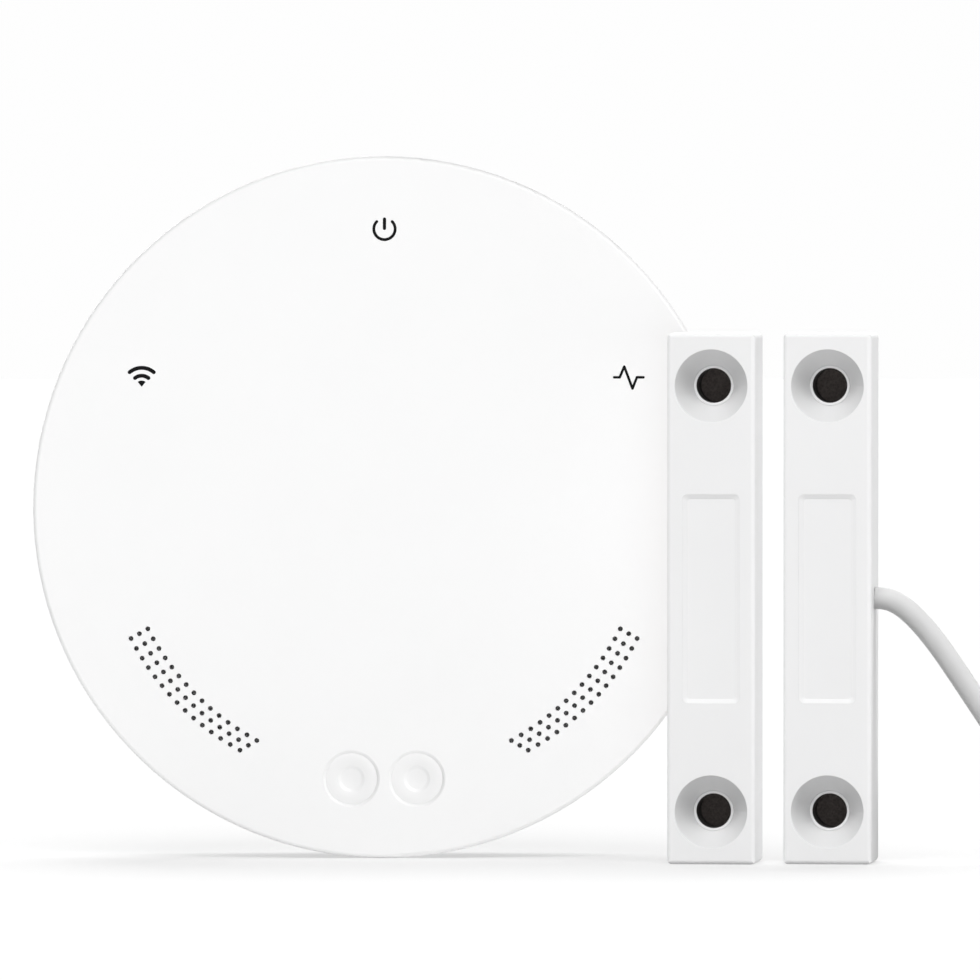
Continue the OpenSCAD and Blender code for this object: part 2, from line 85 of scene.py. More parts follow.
def applyAll(piece):
    pickOnly(piece)
    for modifier in list(piece.modifiers):
        bpy.ops.object.modifier_apply(modifier=modifier.name)


def settle(piece):
    # place goes into the mesh, the object stays at the origin
    pickOnly(piece)
    bpy.ops.object.transform_apply(location=True, rotation=True, scale=True)


def smoothBelow(degrees):
    bpy.ops.object.shade_smooth_by_angle(angle=math.radians(degrees))


def dress(piece, finish):
    piece.data.materials.clear()
    piece.data.materials.append(finish)


def seat(piece, finish, body, slotName, *replaced):
    dress(piece, finish)
    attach(piece, body)
    if replaced:
        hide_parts(*replaced)


def halfPlace(half, unit=1.0):
    # from a half's own axes to where it stands
    shift = Matrix.Translation(Vector((*halves[half], halves["middle"])) * unit)
    return shift @ Matrix.Rotation(math.radians(-halves["turn"]), 4, "Z")


# camera: long lens, level with the middle of the set
cameraSpec = {
    "aim": (6.0, -2.66, 63.0), "distance": 2600.0, "rise": 1.2, "frameWidth": 167.4,
    "sensor": 36.0, "near": 0.01, "far": 50.0,
}


def placeCamera(spec):
    rise = math.radians(spec["rise"])
    aim = Vector(spec["aim"])
    place = aim + Vector((0, -math.cos(rise), math.sin(rise))) * spec["distance"]
    bpy.ops.object.camera_add(location=place * mm, rotation=(math.pi / 2 - rise, 0, 0))
    camera = bpy.context.object
    camera.data.sensor_width = spec["sensor"]
    camera.data.lens = spec["sensor"] * spec["distance"] / spec["frameWidth"]
    camera.data.clip_start = spec["near"]
    camera.data.clip_end = spec["far"]
    scene.camera = camera


placeCamera(cameraSpec)
print("camera placed")

# light: hub and contact are lit as in two shots, each by soft lamps of its own, with weaker ones for the
# edges, sides and backs. Two more lamps draw the shadows on the floor, and the room is dim to the sides
lightSpec = {
    "hub": {
        "azimuth": 24, "elevation": 26, "strength": 2.06, "angle": 40,
        "lights": "hub", "shades": "hub", "gloss": True,
    },
    "hubFoot": {
        "azimuth": 0, "elevation": -66, "strength": 1.0, "angle": 60,
        "lights": "hub", "shades": "hub", "gloss": False,
    },
    "hubSide": {
        "azimuth": -75, "elevation": 15, "strength": 0.5, "angle": 60,
        "lights": "rim", "shades": "hub", "gloss": False,
    },
    "contact": {
        "azimuth": -7, "elevation": 54, "strength": 2.68, "angle": 30,
        "lights": "contact", "shades": "contact", "gloss": False,
    },
    "caseFoot": {
        "azimuth": -7, "elevation": -35, "strength": 0.6, "angle": 30,
        "lights": "cases", "shades": "cases", "gloss": False,
    },
    "switchSide": {
        "azimuth": 85, "elevation": 10, "strength": 1.12, "angle": 20,
        "lights": "switch", "shades": "switch", "gloss": False,
    },
    "magnetSide": {
        "azimuth": 85, "elevation": 10, "strength": 1.08, "angle": 20,
        "lights": "magnet", "shades": "magnet", "gloss": False,
    },
    "back": {
        "azimuth": 192, "elevation": 6, "strength": 1.4, "angle": 40,
        "lights": "pieces", "shades": "pieces", "gloss": True,
    },
    "floorBack": {
        "azimuth": 180, "elevation": 60, "strength": 1.8, "angle": 40,
        "lights": "floor", "shades": "all", "gloss": True,
    },
    "floorFront": {
        "azimuth": 0, "elevation": 52, "strength": 1.4, "angle": 50,
        "lights": "floor", "shades": "all", "gloss": True,
    },
}
roomSpec = {
    "aside": [(0.0, 0.62), (0.14, 0.62), (0.45, 0.15), (1.0, 0.50)],
    "height": [(0.0, 0.9), (0.5, 0.9), (1.0, 0.5)],
    "background": 0.99,
}
groupNames = ("pieces", "hub", "rim", "contact", "cases", "switch", "magnet", "floor")
lampGroups = {name: bpy.data.collections.new(name + "Group") for name in groupNames}


def hangSun(name, spec):
    side, up = math.radians(spec["azimuth"]), math.radians(spec["elevation"])
    toLamp = Vector((math.sin(side) * math.cos(up), -math.cos(side) * math.cos(up), math.sin(up)))
    bpy.ops.object.light_add(type="SUN", location=toLamp)
    lamp = bpy.context.object
    lamp.name = name
    lamp.rotation_euler = toLamp.to_track_quat("Z", "Y").to_euler()
    lamp.data.energy = spec["strength"]
    lamp.data.angle = math.radians(spec["angle"])
    lamp.light_linking.receiver_collection = lampGroups[spec["lights"]]
    lamp.visible_glossy = spec["gloss"]
    if spec["shades"] in lampGroups:
        lamp.light_linking.blocker_collection = lampGroups[spec["shades"]]


def seenRays(tree):
    path = tree.nodes.new("ShaderNodeLightPath")
    total = path.outputs["Is Camera Ray"]
    for kind in ("Is Glossy Ray", "Is Transmission Ray"):
        either = tree.nodes.new("ShaderNodeMath")
        either.operation = "MAXIMUM"
        tree.links.new(total, either.inputs[0])
        tree.links.new(path.outputs[kind], either.inputs[1])
        total = either.outputs[0]
    return total


def paintRoom(spec):
    room = bpy.data.worlds.new("room")
    scene.world = room
    room.use_nodes = True
    tree = room.node_tree
    tree.nodes.clear()
    lit = tree.nodes.new("ShaderNodeBackground")
    lit.inputs["Color"].default_value = (1, 1, 1, 1)
    way = tree.nodes.new("ShaderNodeTexCoord")
    axes = tree.nodes.new("ShaderNodeSeparateXYZ")
    tree.links.new(way.outputs["Generated"], axes.inputs[0])
    aside = tree.nodes.new("ShaderNodeMath")
    aside.operation = "ABSOLUTE"
    tree.links.new(axes.outputs["X"], aside.inputs[0])
    total = tree.nodes.new("ShaderNodeMath")
    total.operation = "MULTIPLY"
    fades = ((spec["aside"], aside.outputs[0]), (spec["height"], axes.outputs["Z"]))
    for socket, (stops, value) in zip(total.inputs, fades):
        fade = tree.nodes.new("ShaderNodeValToRGB")
        for place, level in stops[1:-1]:
            fade.color_ramp.elements.new(place)
        for stop, (place, level) in zip(fade.color_ramp.elements, stops):
            stop.position = place
            stop.color = (level, level, level, 1)
        tree.links.new(value, fade.inputs["Fac"])
        tree.links.new(fade.outputs["Color"], socket)
    tree.links.new(total.outputs[0], lit.inputs["Strength"])
    seen = tree.nodes.new("ShaderNodeBackground")
    seen.inputs["Strength"].default_value = spec["background"]
    seen.inputs["Color"].default_value = (1, 1, 1, 1)
    choose = tree.nodes.new("ShaderNodeMixShader")
    out = tree.nodes.new("ShaderNodeOutputWorld")
    tree.links.new(seenRays(tree), choose.inputs[0])
    tree.links.new(lit.outputs[0], choose.inputs[1])
    tree.links.new(seen.outputs[0], choose.inputs[2])
    tree.links.new(choose.outputs[0], out.inputs[0])


for lampName, lampSpec in lightSpec.items():
    hangSun(lampName + "Lamp", lampSpec)
paintRoom(roomSpec)

# floor: pale paper that keeps the shadow
floorSpec = {
    "size": 12.0, "drop": 0.00002,
    "seen": (0.50, 0.50, 0.50, 1), "bounce": (0.52, 0.52, 0.52, 1), "lift": 0.46,
}


def layFloor(spec):
    deselectAll()
    bpy.ops.mesh.primitive_plane_add(size=spec["size"], location=(0, 0, -spec["drop"]))
    floor = bpy.context.object
    floor.name = "paperFloor"
    paper = bpy.data.materials.new("floorPaper")
    paper.use_nodes = True
    tree = paper.node_tree
    tree.nodes.clear()
    rays = seenRays(tree)
    matt = tree.nodes.new("ShaderNodeBsdfDiffuse")
    matt.inputs["Color"].default_value = spec["seen"]
    dull = tree.nodes.new("ShaderNodeBsdfDiffuse")
    dull.inputs["Color"].default_value = spec["bounce"]
    choose = tree.nodes.new("ShaderNodeMixShader")
    tree.links.new(rays, choose.inputs[0])
    tree.links.new(dull.outputs[0], choose.inputs[1])
    tree.links.new(matt.outputs[0], choose.inputs[2])
    glow = tree.nodes.new("ShaderNodeEmission")
    glow.inputs["Color"].default_value = (1, 1, 1, 1)
    level = tree.nodes.new("ShaderNodeMath")
    level.operation = "MULTIPLY"
    level.inputs[1].default_value = spec["lift"]
    both = tree.nodes.new("ShaderNodeAddShader")
    out = tree.nodes.new("ShaderNodeOutputMaterial")
    tree.links.new(rays, level.inputs[0])
    tree.links.new(level.outputs[0], glow.inputs["Strength"])
    tree.links.new(choose.outputs[0], both.inputs[0])
    tree.links.new(glow.outputs[0], both.inputs[1])
    tree.links.new(both.outputs[0], out.inputs[0])
    dress(floor, paper)
    return floor


lampGroups["floor"].objects.link(layFloor(floorSpec))
print("light and floor set")


# finishes

def newFinish(name, settings):
    finish = bpy.data.materials.new(name)
    finish.use_nodes = True
    tree = finish.node_tree
    shader = tree.nodes["Principled BSDF"]
    for socket, value in settings.items():
        shader.inputs[socket].default_value = value
    where = tree.nodes.new("ShaderNodeTexCoord").outputs["Object"]
    return finish, tree, shader, where


def cloud(tree, where, scale, detail=2.0, roughness=0.5):
    noise = tree.nodes.new("ShaderNodeTexNoise")
    noise.inputs["Scale"].default_value = scale
    noise.inputs["Detail"].default_value = detail
    noise.inputs["Roughness"].default_value = roughness
    tree.links.new(where, noise.inputs["Vector"])
    return noise.outputs["Fac"]


def spread(tree, value, low, high, socket, fromLow=0.3, fromHigh=0.7):
    remap = tree.nodes.new("ShaderNodeMapRange")
    remap.inputs["From Min"].default_value = fromLow
    remap.inputs["From Max"].default_value = fromHigh
    remap.inputs["To Min"].default_value = low
    remap.inputs["To Max"].default_value = high
    tree.links.new(value, remap.inputs["Value"])
    tree.links.new(remap.outputs[0], socket)


def tint(tree, value, dark, light, socket, fromLow=0.3, fromHigh=0.7):
    ramp = tree.nodes.new("ShaderNodeValToRGB")
    ramp.color_ramp.elements[0].position = fromLow
    ramp.color_ramp.elements[0].color = (*dark, 1)
    ramp.color_ramp.elements[1].position = fromHigh
    ramp.color_ramp.elements[1].color = (*light, 1)
    tree.links.new(value, ramp.inputs[0])
    tree.links.new(ramp.outputs[0], socket)


def relief(tree, height, shader, depth, strength):
    bump = tree.nodes.new("ShaderNodeBump")
    bump.inputs["Distance"].default_value = depth
    bump.inputs["Strength"].default_value = strength
    tree.links.new(height, bump.inputs["Height"])
    tree.links.new(bump.outputs[0], shader.inputs["Normal"])


def mouldedPlastic(name, colour, mottle, roughness, grain, depth, settings=None):
    # injection moulded: slow colour drift, spark-eroded grain
    finish, tree, shader, where = newFinish(name, {"IOR": 1.5, **(settings or {})})
    drift = cloud(tree, where, scale=45, detail=3)
    dark = tuple(c * (1 - mottle) for c in colour)
    tint(tree, drift, dark, colour, shader.inputs["Base Color"])
    fine = cloud(tree, where, scale=grain)
    spread(tree, fine, roughness - 0.05, roughness + 0.05, shader.inputs["Roughness"])
    relief(tree, fine, shader, depth, strength=0.35)
    return finish


def paintedSeatShadePlastic(name, half, spec):
    # the case of a half, with painted shade round its screw holes: each seat's cone is painted darker than
    # the faces, and the bore behind it is painted nearly black
    finish = mouldedPlastic(name, *spec["plastic"])
    tree = finish.node_tree
    shader = tree.nodes["Principled BSDF"]
    turn = math.radians(halves["turn"])
    place = tree.nodes.new("ShaderNodeMapping")
    place.vector_type = "TEXTURE"
    place.inputs["Location"].default_value = Vector((*halves[half], halves["middle"])) * mm
    place.inputs["Rotation"].default_value = (0, 0, -turn)
    tree.links.new(tree.nodes["Texture Coordinate"].outputs["Object"], place.inputs["Vector"])
    axes = tree.nodes.new("ShaderNodeSeparateXYZ")
    tree.links.new(place.outputs[0], axes.inputs[0])
    off = tree.nodes.new("ShaderNodeMath")
    off.operation = "ABSOLUTE"
    tree.links.new(axes.outputs["Z"], off.inputs[0])
    up = tree.nodes.new("ShaderNodeMath")
    up.operation = "SUBTRACT"
    up.inputs[1].default_value = halves["pitch"] / 2 * mm
    tree.links.new(off.outputs[0], up.inputs[0])
    flat = tree.nodes.new("ShaderNodeCombineXYZ")
    tree.links.new(axes.outputs["X"], flat.inputs["X"])
    tree.links.new(up.outputs[0], flat.inputs["Y"])
    reach = tree.nodes.new("ShaderNodeVectorMath")
    reach.operation = "LENGTH"
    tree.links.new(flat.outputs[0], reach.inputs[0])
    # painted shade: the case's colour is scaled down by radius round each hole, darker on the seat's cone and
    # nearly black in the bore
    rings = tree.nodes.new("ShaderNodeValToRGB")
    for radius, level in spec["rings"][1:-1]:
        rings.color_ramp.elements.new(radius / spec["reach"])
    for element, (radius, level) in zip(rings.color_ramp.elements, spec["rings"]):
        element.position = radius / spec["reach"]
        element.color = (level, level, level, 1)
    wide = tree.nodes.new("ShaderNodeMath")
    wide.operation = "MULTIPLY"
    wide.inputs[1].default_value = 1 / (spec["reach"] * mm)
    tree.links.new(reach.outputs["Value"], wide.inputs[0])
    tree.links.new(wide.outputs[0], rings.inputs[0])
    shaded = tree.nodes.new("ShaderNodeMix")
    shaded.data_type = "RGBA"
    shaded.blend_type = "MULTIPLY"
    shaded.inputs["Factor"].default_value = 1.0
    colour = shader.inputs["Base Color"].links[0].from_socket
    # a mix of colours takes them at its inputs 6 and 7
    tree.links.new(colour, shaded.inputs[6])
    tree.links.new(rings.outputs[0], shaded.inputs[7])
    tree.links.new(shaded.outputs[2], shader.inputs["Base Color"])
    return finish


def rolledMetal(name, colour, roughness, streak):
    # drawn or rolled metal: streaks along one way
    finish, tree, shader, where = newFinish(name, {"Metallic": 1.0})
    turn = tree.nodes.new("ShaderNodeMapping")
    turn.inputs["Scale"].default_value = (1.0, 1.0, 0.08)
    tree.links.new(where, turn.inputs["Vector"])
    lines = cloud(tree, turn.outputs[0], scale=streak, detail=4, roughness=0.6)
    dark = tuple(c * 0.86 for c in colour)
    tint(tree, lines, dark, colour, shader.inputs["Base Color"])
    spread(tree, lines, roughness - 0.07, roughness + 0.07, shader.inputs["Roughness"])
    relief(tree, lines, shader, depth=0.00002, strength=0.2)
    return finish


def boardLacquer(name, base, track):
    # solder mask over copper: tracks show as slightly raised paler lines
    finish, tree, shader, where = newFinish(name, {"IOR": 1.5, "Coat Weight": 0.3, "Coat Roughness": 0.15})
    turn = tree.nodes.new("ShaderNodeMapping")
    turn.inputs["Rotation"].default_value = (math.pi / 2, 0, 0)
    tree.links.new(where, turn.inputs["Vector"])
    brick = tree.nodes.new("ShaderNodeTexBrick")
    brick.inputs["Scale"].default_value = 190
    brick.inputs["Mortar Size"].default_value = 0.055
    brick.inputs["Mortar Smooth"].default_value = 0.2
    brick.inputs["Color1"].default_value = (*base, 1)
    brick.inputs["Color2"].default_value = (*(c * 0.9 for c in base), 1)
    brick.inputs["Mortar"].default_value = (*track, 1)
    tree.links.new(turn.outputs[0], brick.inputs["Vector"])
    tree.links.new(brick.outputs["Color"], shader.inputs["Base Color"])
    fine = cloud(tree, where, scale=900)
    spread(tree, fine, 0.28, 0.38, shader.inputs["Roughness"])
    relief(tree, brick.outputs["Fac"], shader, depth=0.00004, strength=0.4)
    return finish


def wovenCloth(name, dark, light, pitch, depth, turnAxes=(0.0, 0.0, 0.0)):
    # two crossing sets of threads
    finish, tree, shader, where = newFinish(name, {"Roughness": 0.8})
    turn = tree.nodes.new("ShaderNodeMapping")
    turn.inputs["Rotation"].default_value = turnAxes
    tree.links.new(where, turn.inputs["Vector"])
    threads = []
    for direction in ("X", "Z"):
        wave = tree.nodes.new("ShaderNodeTexWave")
        wave.bands_direction = direction
        wave.inputs["Scale"].default_value = math.pi / (10 * pitch)
        wave.inputs["Distortion"].default_value = 0.3
        tree.links.new(turn.outputs[0], wave.inputs["Vector"])
        threads.append(wave.outputs["Fac"])
    cross = tree.nodes.new("ShaderNodeMath")
    cross.operation = "MAXIMUM"
    tree.links.new(threads[0], cross.inputs[0])
    tree.links.new(threads[1], cross.inputs[1])
    tint(tree, cross.outputs[0], dark, light, shader.inputs["Base Color"], 0.2, 0.9)
    relief(tree, cross.outputs[0], shader, depth, strength=0.7)
    return finish


def closedFoam(name, dark, light, cell):
    finish, tree, shader, where = newFinish(name, {"Roughness": 0.92, "Specular IOR Level": 0.25})
    cells = tree.nodes.new("ShaderNodeTexVoronoi")
    cells.inputs["Scale"].default_value = 1 / cell
    tree.links.new(where, cells.inputs["Vector"])
    tint(tree, cells.outputs["Distance"], dark, light, shader.inputs["Base Color"], 0.1, 0.8)
    relief(tree, cells.outputs["Distance"], shader, depth=cell * 0.4, strength=0.6)
    return finish


def clearMoulding(name, colour, roughness):
    finish, tree, shader, where = newFinish(name, {"IOR": 1.49, "Transmission Weight": 0.85})
    drift = cloud(tree, where, scale=120)
    tint(tree, drift, tuple(c * 0.96 for c in colour), colour, shader.inputs["Base Color"])
    spread(tree, drift, roughness, roughness + 0.08, shader.inputs["Roughness"])
    return finish


def screenedInk(name, colour):
    # printed ink: matt, with a little pinholing
    finish, tree, shader, where = newFinish(name, {"Specular IOR Level": 0.05})
    speck = cloud(tree, where, scale=5200, detail=3)
    tint(tree, speck, tuple(c * 0.75 for c in colour), colour, shader.inputs["Base Color"])
    spread(tree, speck, 0.5, 0.68, shader.inputs["Roughness"])
    relief(tree, speck, shader, depth=0.00001, strength=0.3)
    return finish


def jacketVinyl(name, colour):
    # extruded jacket: smooth, with faint draw lines and bloom
    finish, tree, shader, where = newFinish(name, {"IOR": 1.48, "Coat Weight": 0.12, "Coat Roughness": 0.3})
    bloom = cloud(tree, where, scale=160, detail=4)
    tint(tree, bloom, tuple(c * 0.975 for c in colour), colour, shader.inputs["Base Color"])
    fine = cloud(tree, where, scale=2600)
    spread(tree, fine, 0.36, 0.46, shader.inputs["Roughness"])
    relief(tree, fine, shader, depth=0.00002, strength=0.25)
    return finish


def pairedLeads(name, upper, lower, split):
    # two conductors in one piece: the colour changes half way between them
    finish, tree, shader, where = newFinish(name, {"IOR": 1.48})
    turn = math.radians(halves["turn"])
    side = tree.nodes.new("ShaderNodeVectorMath")
    side.operation = "DOT_PRODUCT"
    side.inputs[1].default_value = (math.sin(turn), math.cos(turn), 0)
    tree.links.new(where, side.inputs[0])
    tint(tree, side.outputs["Value"], lower, upper, shader.inputs["Base Color"], 0.0, 1.0)
    ramp = tree.nodes["Color Ramp"]
    ramp.color_ramp.interpolation = "CONSTANT"
    ramp.color_ramp.elements[1].position = split
    fine = cloud(tree, where, scale=2200)
    spread(tree, fine, 0.34, 0.44, shader.inputs["Roughness"])
    relief(tree, fine, shader, depth=0.00002, strength=0.25)
    return finish


# rings: painted shade round a screw hole, as the level of the case's colour at each radius, in millimetres:
# the seat's cone painted darker, the bore nearly black, the ledge and the faces plain
caseSpec = {
    "plastic": ((0.80, 0.80, 0.803), 0.012, 0.42, 4600, 0.00002), "reach": 10.0,
    "rings": [(2.93, 0.08), (2.98, 1.0), (3.38, 1.0), (3.42, 0.88), (6.1, 0.88), (6.2, 1.0)],
}
# moulded plastics: colour, mottle, roughness, fineness and depth of the grain
finishes = {
    "hubWhite": mouldedPlastic("hubWhite", (0.905, 0.905, 0.905), 0.010, 0.40, 5200, 0.00002),
    "shellWhite": mouldedPlastic("shellWhite", (0.86, 0.86, 0.865), 0.015, 0.48, 3600, 0.00003),
    "buttonWhite": mouldedPlastic("buttonWhite", (0.90, 0.90, 0.90), 0.010, 0.38, 5200, 0.00002),
    # the cases' finishes carry painted shade round their screw holes
    "switchWhite": paintedSeatShadePlastic("switchWhite", "switch", caseSpec),
    "magnetWhite": paintedSeatShadePlastic("magnetWhite", "magnet", caseSpec),
    "jacketWhite": jacketVinyl("jacketWhite", (0.61, 0.61, 0.61)),
    "relayBlack": mouldedPlastic("relayBlack", (0.022, 0.022, 0.024), 0.2, 0.45, 3000, 0.00003),
    "chipBlack": mouldedPlastic("chipBlack", (0.016, 0.016, 0.018), 0.25, 0.62, 4200, 0.00002),
    "clampBlack": mouldedPlastic("clampBlack", (0.03, 0.03, 0.032), 0.2, 0.5, 3000, 0.00003),
    "plungerGrey": mouldedPlastic("plungerGrey", (0.16, 0.16, 0.165), 0.12, 0.45, 3600, 0.00002),
    "terminalGreen": mouldedPlastic("terminalGreen", (0.045, 0.29, 0.11), 0.08, 0.4, 3000, 0.00003),
    "capacitorSleeve": mouldedPlastic("capacitorSleeve", (0.03, 0.045, 0.075), 0.15, 0.3, 2600, 0.00002),
    "lampWhite": mouldedPlastic("lampWhite", (0.78, 0.77, 0.70), 0.05, 0.35, 3000, 0.00001),
    "boardGreen": boardLacquer("boardGreen", (0.018, 0.105, 0.045), (0.035, 0.19, 0.08)),
    "radioGreen": boardLacquer("radioGreen", (0.012, 0.075, 0.05), (0.03, 0.15, 0.09)),
    "screwSteel": rolledMetal("screwSteel", (0.62, 0.62, 0.63), 0.30, 2400),
    "canSteel": rolledMetal("canSteel", (0.70, 0.70, 0.70), 0.34, 1500),
    "tinned": rolledMetal("tinned", (0.74, 0.74, 0.73), 0.28, 3200),
    "magnetNickel": rolledMetal("magnetNickel", (0.60, 0.59, 0.57), 0.25, 1200),
    "meshGrey": wovenCloth("meshGrey", (0.27, 0.27, 0.275), (0.58, 0.58, 0.59), 0.00022, 0.00008),
    "tieGrey": wovenCloth("tieGrey", (0.05, 0.05, 0.053), (0.15, 0.15, 0.155), 0.0006, 0.00015),
    "padFoam": closedFoam("padFoam", (0.25, 0.214, 0.203), (0.36, 0.312, 0.297), 0.00045),
    "guideClear": clearMoulding("guideClear", (0.93, 0.95, 0.96), 0.05),
    "reedGlass": clearMoulding("reedGlass", (0.80, 0.93, 0.88), 0.02),
    "signInk": screenedInk("signInk", (0.008, 0.008, 0.0085)),
    "leadPair": pairedLeads("leadPair", (0.42, 0.018, 0.015), (0.02, 0.02, 0.022), 0.0609),
}
print("finishes made:", len(finishes))

# nodes that stay in the scene as they are
nodeFinish = {
    "front_cover": "hubWhite", "rear_shell": "shellWhite",
    "main_board": "boardGreen", "board_screws": "screwSteel", "door_relays": "relayBlack",
    "terminal_block": "terminalGreen", "terminal_clamps": "tinned", "terminal_screws": "screwSteel",
    "power_socket": "canSteel", "power_tongue": "clampBlack", "radio_board": "radioGreen",
    "radio_can": "canSteel", "sounder": "relayBlack", "sound_mesh": "meshGrey",
    "status_lamps": "lampWhite", "light_guides": "guideClear", "smoothing_capacitors": "capacitorSleeve",
    "processor_chip": "chipBlack", "tact_switches": "chipBlack",
    "left_plunger": "plungerGrey", "right_plunger": "plungerGrey",
    "switch_case": "switchWhite", "switch_base": "shellWhite", "switch_pad": "padFoam",
    "reed_board": "boardGreen", "reed_glass": "reedGlass", "reed_leads": "tinned",
    "cable_clamp": "clampBlack", "cable_tail": "jacketWhite",
    "cord_leads": "leadPair", "cord_tips": "tinned", "magnet_case": "magnetWhite",
    "magnet_base": "shellWhite", "magnet_pad": "padFoam", "bar_magnet": "magnetNickel",
}
for nodeName, finishName in nodeFinish.items():
    dress(nodes[nodeName], finishes[finishName])
print("nodes dressed:", len(nodeFinish))

# the crown is part of one large ball: its shading is set from the ball's middle
crownSpec = {"node": "front_cover", "near": 0.004, "facing": -0.99}


def shadeCrown(spec):
    cover = nodes[spec["node"]]
    ball = Vector((hub["middle"][0], hub["faceY"] + hub["crownRadius"], hub["middle"][1])) * mm
    onCrown = set()
    for face in cover.data.polygons:
        corners = [cover.data.vertices[i].co for i in face.vertices]
        if face.normal.y < spec["facing"] and all(
            abs((corner - ball).length / mm - hub["crownRadius"]) < spec["near"] for corner in corners
        ):
            onCrown.update(face.vertices)
    group = cover.vertex_groups.new(name="crown")
    group.add(sorted(onCrown), 1.0, "REPLACE")
    shade = cover.modifiers.new("crownShade", "NORMAL_EDIT")
    shade.mode = "RADIAL"
    shade.offset = ball
    shade.vertex_group = "crown"
    print("crown shaded:", len(onCrown), "points")


shadeCrown(crownSpec)


# cord: the route repeats the part's source, in millimetres until the last step
cordSpec = {
    "diameter": 3.8,
    "exit": (72.1957, -17.6624, 45.0),
    "route": [
        (0, 0), (2, -0.2), (4, -1), (6, -2.5), (8, -4.5), (10, -6.9), (12, -9.6), (15, -14), (18, -18.5),
        (21, -23), (24, -27.4), (27, -31.5), (30, -35), (33.5, -38.3), (37.5, -40.7), (42, -42.0),
        (48, -42.3), (54, -42.3),
    ],
    "coilMiddle": (130.1957, 15.8376), "coilOut": 33.5, "pitch": 4.3, "low": 2.7,
    "turns": 5, "layers": 4, "climb": 180, "tail": 180, "stepOut": 60, "landing": 10,
    "step": 7.5, "leadIn": 4.0, "parts": 4, "roundness": 5,
}


def ease(s):
    s = min(max(s, 0.0), 1.0)
    return s * s * (3 - 2 * s)


def coilPoint(angle, spec):
    layer = spec["turns"] * 360
    end = layer * spec["layers"]
    if angle <= end:
        turned = abs((angle + layer) % (2 * layer) - layer)
        radius = spec["coilOut"] - spec["pitch"] * turned / 360
        climbed = 0.0
        for k in range(1, spec["layers"]):
            climbed += ease((angle - k * layer) / spec["climb"] + 0.5)
    else:
        radius = spec["coilOut"] + spec["pitch"] * ease((angle - end) / spec["stepOut"])
        fall = spec["tail"] - spec["stepOut"] - spec["landing"]
        climbed = (spec["layers"] - 1) * (1 - ease((angle - end - spec["stepOut"]) / fall))
    way = math.radians(angle - 90)
    return Vector((
        spec["coilMiddle"][0] + radius * math.cos(way),
        spec["coilMiddle"][1] + radius * math.sin(way),
        spec["low"] + spec["pitch"] * climbed,
    ))


def smoothLine(points, parts):
    # passes through every point, with rounded steps between them
    line = []
    for i in range(len(points) - 1):
        before = points[max(i - 1, 0)]
        start, stop = points[i], points[i + 1]
        after = points[min(i + 2, len(points) - 1)]
        for k in range(parts):
            t = k / parts
            line.append(0.5 * (
                2 * start + (stop - before) * t
                + (2 * before - 5 * start + 4 * stop - after) * t * t
                + (3 * start - before - 3 * stop + after) * t ** 3
            ))
    line.append(points[-1])
    return line


def turnWithSwitch(point):
    turn = Matrix.Rotation(math.radians(-halves["turn"]), 3, "Z")
    pivot = Vector((*halves["switch"], 0))
    return turn @ (point - pivot) + pivot


def runCord(spec):
    exitPoint = Vector(spec["exit"])
    free = [exitPoint + Vector((p[0], 0, p[1])) for p in spec["route"]]
    line = smoothLine(free, spec["parts"])
    steps = int((spec["turns"] * 360 * spec["layers"] + spec["tail"]) / spec["step"])
    line += [coilPoint(i * spec["step"], spec) for i in range(steps + 1)]
    line.append(line[-1] - Vector((spec["leadIn"], 0, 0)))
    line = [turnWithSwitch(point) for point in line]
    shape = bpy.data.curves.new("sensorCord", "CURVE")
    shape.dimensions = "3D"
    shape.bevel_depth = spec["diameter"] / 2 * mm
    shape.bevel_resolution = spec["roundness"]
    shape.use_fill_caps = True
    spline = shape.splines.new("POLY")
    spline.points.add(len(line) - 1)
    for point, place in zip(spline.points, line):
        point.co = (*(place * mm), 1)
    spline.use_smooth = True
    cord = bpy.data.objects.new("sensorCord", shape)
    scene.collection.objects.link(cord)
    seat(cord, finishes["jacketWhite"], "hub", "cord_white", "switch_cord", "cord_coil")


# strips: an edge is set on the first pair of points and drawn out along the others, in millimetres
def startSheet(name):
    deselectAll()
    bpy.ops.mesh.primitive_plane_add(size=mm)
    sheet = bpy.context.object
    sheet.name = name
    sheet.data.name = name
    bpy.ops.object.mode_set(mode="EDIT")
    bpy.ops.mesh.select_mode(type="EDGE")
    bpy.ops.mesh.select_all(action="SELECT")
    bpy.ops.mesh.delete(type="VERT")
    return sheet


def startStrip(sheet, pair):
    bpy.ops.mesh.select_all(action="DESELECT")
    cage = bmesh.from_edit_mesh(sheet.data)
    edge = cage.edges.new([cage.verts.new(Vector(point) * mm) for point in pair])
    edge.select_set(True)
    cage.select_flush_mode()
    bmesh.update_edit_mesh(sheet.data)


def sweepStrip(sheet, pairs):
    startStrip(sheet, pairs[0])
    for pair in pairs[1:]:
        bpy.ops.mesh.extrude_region_move()
        cage = bmesh.from_edit_mesh(sheet.data)
        moved = sorted((v for v in cage.verts if v.select), key=lambda v: v.index)
        for vertex, place in zip(moved, pair):
            vertex.co = Vector(place) * mm
        bmesh.update_edit_mesh(sheet.data)


def closeSheet(sheet, thick):
    bpy.ops.mesh.select_all(action="SELECT")
    bpy.ops.mesh.remove_doubles(threshold=mergeGap)
    bpy.ops.mesh.normals_make_consistent(inside=False)
    bpy.ops.object.mode_set(mode="OBJECT")
    coat = sheet.modifiers.new("thickness", "SOLIDIFY")
    coat.thickness = thick * mm
    coat.offset = 0


